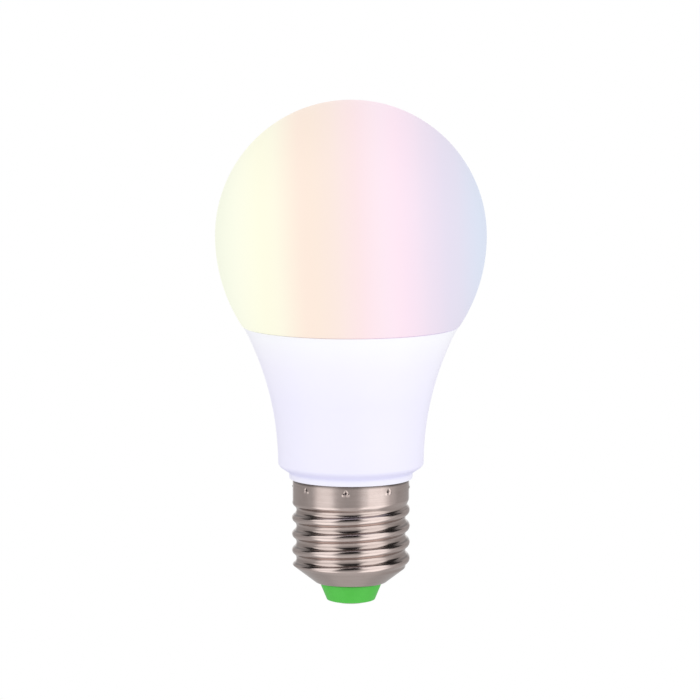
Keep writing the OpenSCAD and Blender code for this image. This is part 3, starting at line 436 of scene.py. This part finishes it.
def lathe(name, profile, sides=LATHE_SIDES):
    """A closed surface turned round the axis from a profile of (radius, height)."""
    rings = []
    for r, z in profile:
        count = sides if r > 0 else 1
        turns = [2 * math.pi * k / count for k in range(count)]
        rings.append([(r * math.cos(a), r * math.sin(a), z) for a in turns])
    return ring_mesh(name, rings)


def rounded(corners):
    """A closed outline through corners (x, y), or (x, y, radius) where the corner is rounded."""
    outline = []
    for i, (x, y, *radius) in enumerate(corners):
        corner = Vector((x, y))
        if not radius:
            outline.append((x, y))
            continue
        back = (Vector(corners[i - 1][:2]) - corner).normalized()
        on = (Vector(corners[(i + 1) % len(corners)][:2]) - corner).normalized()
        reach = radius[0] / math.tan(back.angle(on) / 2)
        for k in range(ROUNDING_STEPS + 1):
            t = k / ROUNDING_STEPS
            outline.append(tuple(corner + reach * ((1 - t) ** 2 * back + t * t * on)))
    return outline


def arc(centre_x, centre_y, radius, start, end, steps):
    """Points along an arc, between two directions in degrees."""
    turns = [math.radians(start + (end - start) * k / steps) for k in range(steps + 1)]
    return [(centre_x + radius * math.cos(a), centre_y + radius * math.sin(a)) for a in turns]


# ---------------------------------------------------------------- globe and housing

SEAM_GAP = 0.15          # between the globe's rim and the housing's top edge
SPIGOT_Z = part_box("globe")[0].z / MM
SEAM_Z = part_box("housing")[1].z / MM + SEAM_GAP
TUBE_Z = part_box("housing")[0].z / MM
GLOBE_R = 30.0
GLOBE_Z = 82.0           # height of the globe's widest ring
GLOBE_WALL = 1.2
HOUSING_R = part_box("housing")[1].x / MM
SEAM_R = HOUSING_R + 0.2
# Radius of the arc that draws the globe in from its widest ring to the seam
LOWER_R = ((GLOBE_R - SEAM_R) ** 2 + (GLOBE_Z - SEAM_Z) ** 2) / (2 * (GLOBE_R - SEAM_R))
RIM_T = 1.2
SPIGOT_WALL = 1.2
SPIGOT_GAP = 0.1
HOUSING_WALL = 1.4
NECK_R, NECK_Z = 16.15, 31.2
COLLAR_R, COLLAR_TOP_Z = 13.7, 29.5
COLLAR_CHAMFER = 0.3
SEAT_R = 12.6            # step on the tube that the shell's skirt sits on
SEAT_GAP = 0.05
TUBE_R, BORE_R = 11.63, 10.33
TUBE_TOP_Z = 23.4
FLARE_STEPS = 36
FLARE_RUN = HOUSING_R - NECK_R
FLARE_R = (FLARE_RUN ** 2 + (SEAM_Z - NECK_Z) ** 2) / (2 * FLARE_RUN)


def flare_arc(inset, low, high):
    """The flare's skin, or its inner side at an inset, from one height to another."""
    reach = FLARE_R + inset
    start, end = (180 - math.degrees(math.asin((z - NECK_Z) / reach)) for z in (low, high))
    return arc(NECK_R + FLARE_R, NECK_Z, reach, start, end, FLARE_STEPS)


def globe_profile():
    """The globe's section: a half sphere, an arc down to the seam, and the spigot's ring."""
    centre_r = GLOBE_R - LOWER_R
    inner_r = LOWER_R - GLOBE_WALL
    rim_turn = math.degrees(math.asin((SEAM_Z - GLOBE_Z) / LOWER_R))
    inner_turn = math.degrees(math.asin((SEAM_Z + RIM_T - GLOBE_Z) / inner_r))
    spigot_r = flare_arc(HOUSING_WALL, NECK_Z, SPIGOT_Z)[-1][0] - SPIGOT_GAP
    bore_r = spigot_r - SPIGOT_WALL
    outer = [(0, GLOBE_Z + GLOBE_R)] + arc(0, GLOBE_Z, GLOBE_R, 90, 0, 72)[1:]
    outer += arc(centre_r, GLOBE_Z, LOWER_R, 0, rim_turn, 40)[1:-1]
    rim = [
        (SEAM_R, SEAM_Z, 0.1), (spigot_r, SEAM_Z), (spigot_r, SPIGOT_Z, 0.2),
        (bore_r, SPIGOT_Z, 0.2), (bore_r, SEAM_Z + RIM_T),
    ]
    inner = arc(centre_r, GLOBE_Z, inner_r, inner_turn, 0, 30)
    inner += arc(0, GLOBE_Z, GLOBE_R - GLOBE_WALL, 0, 90, 48)[1:-1]
    return rounded(outer + rim + inner + [(0, GLOBE_Z + GLOBE_R - GLOBE_WALL)])


def housing_profile():
    """The housing's section: the tube, the seat, the collar with its chamfer, and the flare."""
    seat_z = SHELL_TOP_Z + SEAT_GAP
    top_z = SEAM_Z - SEAM_GAP
    collar = [
        (BORE_R, TUBE_Z, 0.2), (TUBE_R, TUBE_Z, 0.3), (TUBE_R, TUBE_TOP_Z),
        (SEAT_R, TUBE_TOP_Z + 1), (SEAT_R, seat_z), (COLLAR_R, seat_z, 0.35),
        (COLLAR_R, COLLAR_TOP_Z - COLLAR_CHAMFER, 0.4),
        (COLLAR_R + COLLAR_CHAMFER, COLLAR_TOP_Z, 0.2),
        (NECK_R - 0.5, NECK_Z - 0.6, 0.35), (NECK_R, NECK_Z, 0.9),
    ]
    skin = flare_arc(0, NECK_Z, top_z)[1:-1]
    inner = flare_arc(HOUSING_WALL, NECK_Z, top_z)[::-1]
    bore = [(NECK_R - HOUSING_WALL - 0.6, NECK_Z), (BORE_R, COLLAR_TOP_Z - 0.4)]
    return rounded(collar + skin + [(HOUSING_R, top_z, 0.1)] + inner + bore)


finish_piece(lathe("globe_moulded", globe_profile()), "globe_moulded", "globe")
finish_piece(lathe("housing_moulded", housing_profile()), "housing_moulded", "housing")


# ---------------------------------------------------------------- screw shell

PITCH = 3.629
CREST_HALF = 0.85        # half the width of a crest's rounding
THREAD_DEPTH = CREST_R - ROOT_R
CREST_Z = 17.27          # height of a crest on the +X side
SHELL_WALL = 0.3
SHELL_TURNS = 480        # columns round the shell
THREAD_TOP_Z = 23.6
FADE_H = 2.4             # height over which the thread runs out into the skirt
THREAD_ROWS, SKIRT_ROWS = 116, 27
HOLE_R = 7.1
CONE_R = 7.8             # outer edge of the lip turned in round the insulator
CONE_TOP_Z = 8.66
CONE_BLEND = 0.35        # rounding between the thread and the cone
LOWER_EDGE = 0.12        # above the shell's lowest edge, where the cone starts
CRIMP_COUNT = 8
CRIMP_TURN = 265         # direction of the first crimp
CRIMP_DROP = 1.4         # from the shell's top edge to the middle of a crimp
CRIMP_SIZE = 0.62
CRIMP_DEPTH = 0.36       # a pit is about 0.7 of this deep, so it stays inside the sheet
CRIMP_LIP = 0.01         # height of the rim round a pit
BURR_HEIGHT = 0.17
BURR_ASIDE, BURR_DROP = 0.48, 0.5
BURR_SPREAD = 0.04


def smooth_step(t):
    """Eases from 0 to 1."""
    t = min(1.0, max(0.0, t))
    return t * t * (3 - 2 * t)


def smooth_min(a, b, k):
    """The smaller of two values, rounded where they are within k of each other."""
    h = max(k - abs(a - b), 0.0) / k
    return min(a, b) - h * h * k / 4


def thread_radius(turn, z):
    """Rolled thread: rounded crests between slightly wider roots."""
    turns = (z - CREST_Z) / PITCH - turn / 360
    off = abs(turns - round(turns)) * PITCH
    if off < CREST_HALF:
        return CREST_R - arc_drop(off, CREST_HALF, THREAD_DEPTH * CREST_HALF * 2 / PITCH)
    off = PITCH / 2 - off
    root_half = PITCH / 2 - CREST_HALF
    return ROOT_R + arc_drop(off, root_half, THREAD_DEPTH * (1 - CREST_HALF * 2 / PITCH))


def arc_drop(off, half, drop):
    """How far an arc that is drop deep at half its width has fallen at off."""
    r = (half * half + drop * drop) / (2 * drop)
    return r - math.sqrt(r * r - off * off)


def crimp_offset(turn, z):
    """Pits punched near the top edge with a pointed tool, each with burrs at its lower corners."""
    step = 360 / CRIMP_COUNT
    off = (turn - CRIMP_TURN + step / 2) % step - step / 2
    across = math.radians(off) * SKIRT_R
    up = z - (SHELL_TOP_Z - CRIMP_DROP)
    if math.hypot(across, up) > 3 * CRIMP_SIZE:
        return 0.0
    # Distance from a triangle that points up: its flat side is below
    reach = max(-up * 1.25, (up + abs(across) * 1.5) * 0.62) / CRIMP_SIZE + 0.35
    pit = -CRIMP_DEPTH * max(0.0, 1 - reach) ** 0.8
    lip = CRIMP_LIP * math.exp(-((reach - 1.15) / 0.22) ** 2)
    burrs = sum(
        math.exp(-((across - side * BURR_ASIDE) ** 2 + (up + BURR_DROP) ** 2) / BURR_SPREAD)
        for side in (-1, 1)
    )
    return pit + lip + BURR_HEIGHT * burrs


def shell_radius(turn, z):
    """The shell's outer side: cone, thread, then a plain skirt with crimps."""
    shown = 1 - smooth_step((z - THREAD_TOP_Z + FADE_H) / FADE_H)
    r = SKIRT_R + shown * (thread_radius(turn, z) - SKIRT_R)
    cone = CONE_R + (CREST_R - CONE_R) * (z - SHELL_BOTTOM_Z) / (CONE_TOP_Z - SHELL_BOTTOM_Z)
    return smooth_min(r, cone, CONE_BLEND) + crimp_offset(turn, z)


def shell_mesh():
    """The shell as rings: up its outer side, over the top edge, and down its inner side."""
    turns = [360 * k / SHELL_TURNS for k in range(SHELL_TURNS)]

    def ring(z, radii):
        angles = [math.radians(a) for a in turns]
        return [(r * math.cos(a), r * math.sin(a), z) for r, a in zip(radii, angles)]

    def plain(z, r):
        return ring(z, [r] * SHELL_TURNS)

    def steps(low, high, count):
        return [low + (high - low) * i / count for i in range(count + 1)]

    heights = steps(SHELL_BOTTOM_Z + LOWER_EDGE, THREAD_TOP_Z, THREAD_ROWS)
    heights += steps(THREAD_TOP_Z, SHELL_TOP_Z - 0.35, SKIRT_ROWS)[1:]
    rings = [ring(z, [shell_radius(a, z) for a in turns]) for z in heights]
    # The top edge turns out a little and is cut square: (drop, outset)
    for drop, out in ((0.2, 0.03), (0.1, 0.09), (0.03, 0.13), (0, 0.1), (0, -0.06), (0.04, -0.14)):
        rings.append(plain(SHELL_TOP_Z - drop, SKIRT_R + out))
    # Plain inner side, hidden by the housing's tube
    rings.append(plain(SHELL_TOP_Z - 0.5, SKIRT_R - SHELL_WALL))
    rings.append(plain(SHELL_TOP_Z - CRIMP_DROP, SKIRT_R - SHELL_WALL - 0.02))
    rings.append(plain(THREAD_TOP_Z, SKIRT_R - SHELL_WALL))
    for z in steps(THREAD_TOP_Z - 1.6, CONE_TOP_Z, 6):
        rings.append(plain(z, ROOT_R - SHELL_WALL))
    # The lower edge, turned in round the insulator: (rise, radius)
    for rise, r in ((0.36, CONE_R - 0.15), (0.3, HOLE_R + 0.06), (0.24, HOLE_R), (0.06, HOLE_R),
                    (0, HOLE_R + 0.06), (0, CONE_R - 0.14), (0.04, CONE_R - 0.02)):
        rings.append(plain(SHELL_BOTTOM_Z + rise, r))
    return ring_mesh("screw_shell_rolled", rings)


finish_piece(shell_mesh(), "screw_shell_rolled", "screw_shell", smooth_angle=60)


# ---------------------------------------------------------------- insulator and contact

TIP_R = 5.35             # outer edge of the insulator's lower face
CONTACT_R = 3.4
CONTACT_H = 0.3
CONTACT_EDGE = 1.0       # width of the contact's rounded edge
DOME = 0.4               # rise of the insulator's face from the contact to its edge
SHANK_R = 1.2            # rivet through the insulator
RIVET_BORE_R = 0.5
RIVET_BORE_Z = 2.0
WELL_R = 5.0             # hollow in the insulator's top
FLOOR_Z = 4.0            # its floor, where the rivet is spread
FLANGE_R = 9.3
FLANGE_Z, FLANGE_TOP_Z = 6.3, 7.75
FIT = 0.05               # between pieces that fit together


def insulator_profile():
    """The insulator's section: domed face, tapered side, throat in the shell's hole, flange."""
    in_r = CONTACT_R + FIT
    face = []
    for k in range(9):
        t = k / 8
        face.append((in_r + (TIP_R - in_r) * t, CONTACT_H + DOME * t * t))
    top = SHELL_BOTTOM_Z - FIT
    lip_top = SHELL_BOTTOM_Z + SHELL_WALL + FIT
    throat_r = HOLE_R - 0.3
    return rounded([
        (SHANK_R + FIT, CONTACT_H), (in_r - 0.03, CONTACT_H), *face[:-1], (*face[-1], 0.3),
        (HOLE_R - 0.15, top, 0.12), (throat_r, top), (throat_r, lip_top), (HOLE_R + 0.5, lip_top),
        (FLANGE_R, FLANGE_Z), (FLANGE_R, FLANGE_TOP_Z, 0.3), (WELL_R, FLANGE_TOP_Z, 0.3),
        (WELL_R, FLOOR_Z, 0.3), (SHANK_R + FIT, FLOOR_Z),
    ])


def contact_profile():
    """The contact's section: flat middle, rounded edge, and a rivet spread on the well's floor."""
    flat_r = CONTACT_R - CONTACT_EDGE
    edge = [(flat_r + CONTACT_EDGE * math.sin(a), CONTACT_H * (1 - math.cos(a)))
            for a in (math.radians(9 * k) for k in range(11))]
    return [(0, 0)] + edge + [
        (SHANK_R, CONTACT_H), (SHANK_R, FLOOR_Z), (SHANK_R + 0.7, FLOOR_Z),
        (SHANK_R + 0.62, FLOOR_Z + 0.35), (SHANK_R + 0.4, FLOOR_Z + 0.6),
        (SHANK_R, FLOOR_Z + 0.9), (SHANK_R - 0.3, FLOOR_Z + 1),
        (RIVET_BORE_R + 0.05, FLOOR_Z + 1), (RIVET_BORE_R, FLOOR_Z + 0.9),
        (RIVET_BORE_R, RIVET_BORE_Z), (0, RIVET_BORE_Z),
    ]


finish_piece(lathe("insulator_moulded", insulator_profile()), "insulator_moulded", "base_insulator")
finish_piece(lathe("contact_turned", contact_profile()), "contact_turned", "centre_contact")


# ---------------------------------------------------------------- choke winding

TURN_PITCH = 0.42
TURN_DEPTH = 0.12
TURN_STEPS = 8           # points along the profile of one turn
CHOKE_LEG_R = 1.45
CHOKE_SIDES = 96
# From a winding turned round Z to one that lies along Y
Z_TO_Y = Matrix(((1, 0, 0, 0), (0, 0, 1, 0), (0, -1, 0, 0), (0, 0, 0, 1)))


def choke_winding_mesh():
    """Layers of enamelled wire, with the outer layer's turns standing out as ridges."""
    low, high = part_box("choke_winding")
    centre_x, centre_z = (low.x + high.x) / 2 / MM, (low.z + high.z) / 2 / MM
    radius = (high.x - low.x) / 2 / MM
    turns = round((high.y - low.y) / MM / TURN_PITCH)
    pitch = (high.y - low.y) / MM / turns
    profile = [(CHOKE_LEG_R, low.y / MM)]
    for turn in range(turns):
        for k in range(TURN_STEPS):
            ridge_r = radius - TURN_DEPTH * (1 - math.sin(math.pi * k / TURN_STEPS))
            profile.append((ridge_r, low.y / MM + pitch * (turn + k / TURN_STEPS)))
    profile += [(radius - TURN_DEPTH, high.y / MM), (CHOKE_LEG_R, high.y / MM)]
    mesh = lathe("choke_turns", profile, CHOKE_SIDES)
    mesh.transform(Matrix.Translation((centre_x, 0, centre_z)) @ Z_TO_Y)
    return mesh


finish_piece(choke_winding_mesh(), "choke_turns", "choke_winding")


# ---------------------------------------------------------------- studio

FLOOR_SIZE = 12.0
TENT_RADIUS = 3.0
TENT_Z = 0.03
CAMERA_DISTANCE = 1.15
CAMERA_HEIGHT = 0.20388
CAMERA_PITCH = math.radians(7.3)
CAMERA_LENS = 269.3
CAMERA_SENSOR = 36.0
CAMERA_ASIDE = -0.0002


def floor_material():
    """White from above, and clear from below."""
    material = bpy.data.materials.new("floor_white")
    material.use_nodes = True
    tree = material.node_tree
    tree.nodes.clear()
    out = tree.nodes.new("ShaderNodeOutputMaterial")
    glow = tree.nodes.new("ShaderNodeEmission")
    glow.inputs["Color"].default_value = (1, 1, 1, 1)
    glow.inputs["Strength"].default_value = 1.0
    clear = tree.nodes.new("ShaderNodeBsdfTransparent")
    side = tree.nodes.new("ShaderNodeNewGeometry")
    mix = tree.nodes.new("ShaderNodeMixShader")
    tree.links.new(side.outputs["Backfacing"], mix.inputs[0])
    tree.links.new(glow.outputs[0], mix.inputs[1])
    tree.links.new(clear.outputs[0], mix.inputs[2])
    tree.links.new(mix.outputs[0], out.inputs[0])
    return material


def stage_mesh(name, points, faces, material):
    """A plain part of the studio."""
    mesh = bpy.data.meshes.new(name)
    mesh.from_pydata(points, [], faces)
    mesh.materials.append(material)
    obj = bpy.data.objects.new(name, mesh)
    bpy.context.scene.collection.objects.link(obj)
    return obj


def make_floor():
    """A pale floor that adds no light and no reflection to the bulb."""
    half = FLOOR_SIZE / 2
    floor = stage_mesh(
        "floor", [(-half, -half, 0), (half, -half, 0), (half, half, 0), (-half, half, 0)],
        [(0, 1, 2, 3)], floor_material(),
    )
    floor.visible_diffuse = False
    floor.visible_glossy = False


# What polished surfaces see round the object, from straight down to straight up. Each band gives
# the heights in degrees over which it takes over, and (direction, brightness) round the tent,
# where 0 is the front, 90 the right and -90 the left.
TENT_BANDS = [
    ((-90, -90), [(0, 0.64), (180, 0.64)]),
    ((-64, -50), [
        (-180, 0.62), (-165, 0.5), (-90, 0.5), (-66, 1.5), (-40, 1.5), (-20, 0.7), (15, 0.65),
        (30, 1.5), (66, 1.5), (95, 0.5), (165, 0.5), (180, 0.62),
    ]),
    ((-17, -8), [
        (-180, 1.1), (-168, 0.9), (-156, 0.42), (-108, 0.40), (-84, 0.46), (-64, 1.0), (-44, 1.05),
        (-27, 0.5), (-6, 0.38), (8, 0.44), (30, 0.8), (38, 1.25), (62, 1.25), (88, 0.6),
        (108, 0.42), (156, 0.42), (168, 0.9), (180, 1.1),
    ]),
    ((8, 26), [
        (-180, 0.7), (-140, 0.5), (-130, 0.4), (-119, 0.03), (-98, 0.03), (-84, 1.3), (-43, 1.4),
        (-25, 0.03), (14, 0.02), (30, 1.4), (72, 1.4), (92, 0.03), (119, 0.03), (130, 0.4),
        (140, 0.5), (180, 0.7),
    ]),
    ((37, 46), [
        (-180, 0.02), (-98, 0.03), (-84, 1.3), (-43, 1.4), (-25, 0.03), (14, 0.02), (30, 1.4),
        (72, 1.4), (92, 0.03), (180, 0.02),
    ]),
    ((60, 72), [(0, 0.015), (180, 0.015)]),
]


def make_tent():
    """A tent of soft boxes and dark gaps that only polished surfaces see."""
    m = Nodes("tent", (0, 0, 0, 1), 1.0)
    split = m.add("SeparateXYZ")
    m.link(m.coords.outputs["Object"], split.inputs[0])
    x, y, z = split.outputs
    turn = m.between(m.math("ARCTAN2", x, m.math("MULTIPLY", y, -1.0)), -math.pi, math.pi)
    height = m.math("MULTIPLY", m.math("ARCSINE", z), 180 / math.pi)
    level = None
    for (low, high), stops in TENT_BANDS:
        grey = [((turn_deg + 180) / 360, (value,) * 3 + (1,)) for turn_deg, value in stops]
        band = m.ramp(turn, grey, "EASE")
        if level is None:
            level = band
        else:
            level = m.mix(m.between(height, low, high, smooth=True), level, band)
    glow = m.add("Emission")
    m.link(level, glow.inputs["Color"])
    m.tree.nodes.remove(m.shader)
    m.link(glow.outputs[0], m.tree.nodes["Material Output"].inputs[0])

    bm = bmesh.new()
    bmesh.ops.create_uvsphere(bm, u_segments=96, v_segments=48, radius=1.0)
    mesh = bpy.data.meshes.new("tent")
    bm.to_mesh(mesh)
    bm.free()
    mesh.materials.append(m.material)
    tent = bpy.data.objects.new("tent", mesh)
    bpy.context.scene.collection.objects.link(tent)
    tent.location = (0, 0, TENT_Z)
    tent.scale = (TENT_RADIUS, TENT_RADIUS, TENT_RADIUS)
    tent.visible_camera = False
    tent.visible_diffuse = False
    tent.visible_transmission = False
    tent.visible_shadow = False


def make_world():
    """Even white light from all sides."""
    world = bpy.data.worlds.new("studio")
    bpy.context.scene.world = world
    world.use_nodes = True
    background = world.node_tree.nodes["Background"]
    background.inputs["Color"].default_value = (1, 1, 1, 1)
    background.inputs["Strength"].default_value = 1.0


def make_camera():
    """A long lens, from slightly above."""
    data = bpy.data.cameras.new("camera")
    data.lens = CAMERA_LENS
    data.sensor_width = CAMERA_SENSOR
    camera = bpy.data.objects.new("camera", data)
    bpy.context.scene.collection.objects.link(camera)
    camera.location = (CAMERA_ASIDE, -CAMERA_DISTANCE, CAMERA_HEIGHT)
    camera.rotation_euler = (math.pi / 2 - CAMERA_PITCH, 0, 0)
    bpy.context.scene.camera = camera


make_floor()
make_tent()
make_world()
make_camera()
bpy.context.scene.view_settings.view_transform = "Standard"
